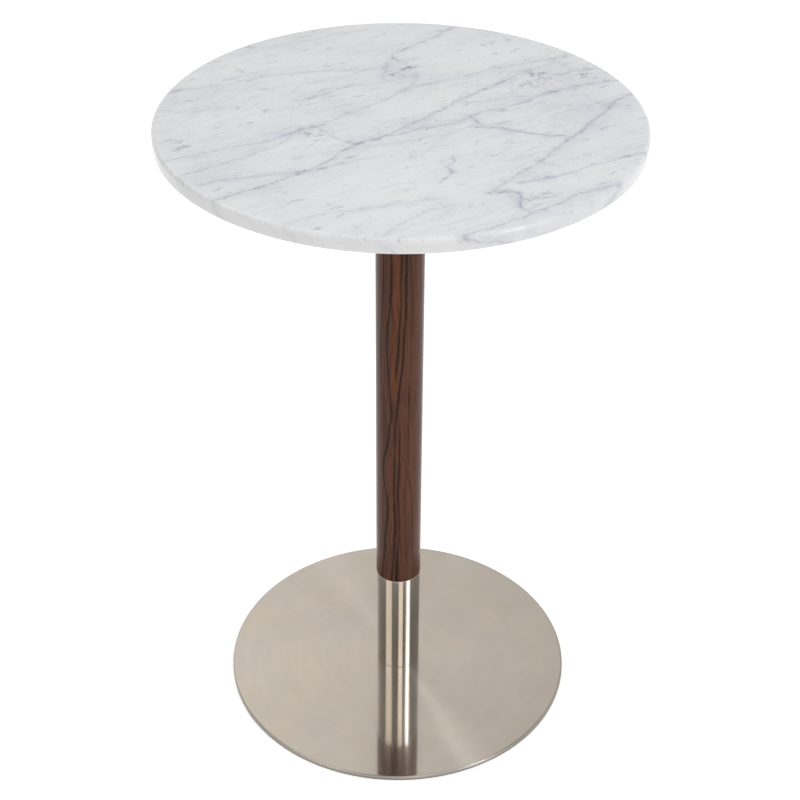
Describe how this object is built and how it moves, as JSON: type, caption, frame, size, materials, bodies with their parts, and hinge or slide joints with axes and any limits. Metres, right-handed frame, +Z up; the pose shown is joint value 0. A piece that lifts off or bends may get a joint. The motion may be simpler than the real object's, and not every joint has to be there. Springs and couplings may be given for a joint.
{
  "type": "pedestal table",
  "caption": "Round pedestal table with a white veined marble top, a dark striped wood column on a brushed steel collar, and a thin flat brushed steel base.",
  "frame": {"origin": "on the floor, under the middle of the column", "axes": "+Z up along the column. The table is round, so its heading is free: the veneer's seam faces +Y, and -Y is the side that the picture looks at"},
  "size_m": [0.5999, 0.6, 0.89],
  "materials": {
    "marble": "polished",
    "striped_veneer": "satin",
    "plain_timber": "matte",
    "collar_steel": "satin",
    "base_steel": "satin",
    "black_steel": "satin",
    "mild_steel": "matte",
    "zinc_steel": "satin",
    "brass": "satin",
    "nylon": "matte",
    "rubber": "matte"
  },
  "bodies": {
    "root": {"marble_top": "marble", "threaded_inserts": "brass", "plate_gasket": "rubber", "top_plate": "black_steel", "top_screws": "zinc_steel", "top_washers": "zinc_steel", "head_screws": "zinc_steel", "head_plug": "mild_steel", "core_tube": "mild_steel", "foot_plug": "mild_steel", "base_screws": "zinc_steel", "sleeve_core": "plain_timber", "wood_veneer": "striped_veneer", "sleeve_seal": "rubber", "sleeve_ring": "nylon", "steel_collar": "collar_steel", "collar_ring": "nylon", "base_cover": "base_steel", "base_weight": "black_steel", "floor_pads": "rubber"}
  },
  "joints": []
}
